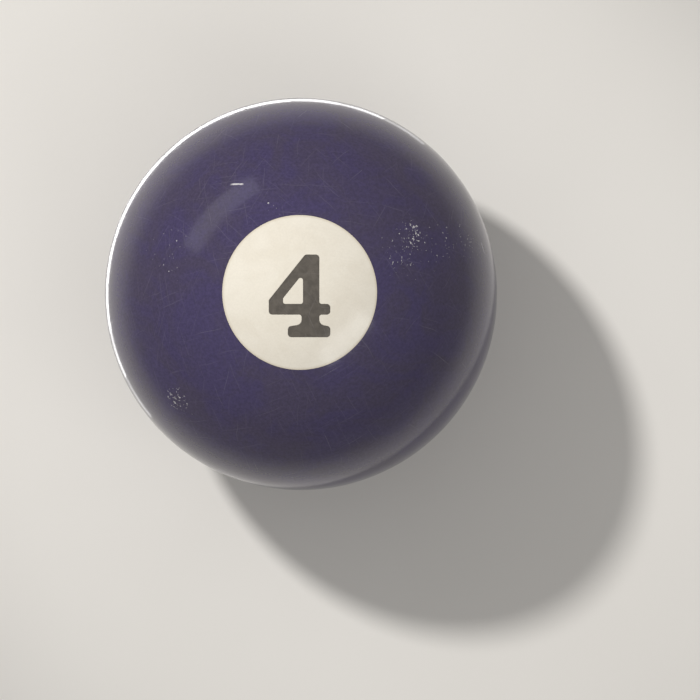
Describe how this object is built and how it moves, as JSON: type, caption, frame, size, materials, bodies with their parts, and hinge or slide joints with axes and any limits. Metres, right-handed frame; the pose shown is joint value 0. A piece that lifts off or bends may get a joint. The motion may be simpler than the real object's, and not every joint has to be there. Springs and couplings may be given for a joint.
{
  "type": "pool ball",
  "caption": "Polished resin pool ball with a flush ivory disc at each pole, each carrying an inlaid charcoal figure four.",
  "frame": {"origin": "the centre of the ball", "axes": "+Z from the centre through the middle of the upper number disc; +Y is the upward direction of both numerals; +X is to the right of the upper numeral as it is read"},
  "size_m": [0.0572, 0.0572, 0.0572],
  "materials": {
    "purple_resin": "polished",
    "ivory_resin": "polished",
    "charcoal_resin": "polished",
    "core_resin": "as cast"
  },
  "bodies": {
    "root": {"core": "core_resin", "outer_shell": "purple_resin", "number_disc_top": "ivory_resin", "numeral_top": "charcoal_resin", "number_disc_bottom": "ivory_resin", "numeral_bottom": "charcoal_resin"}
  },
  "joints": []
}
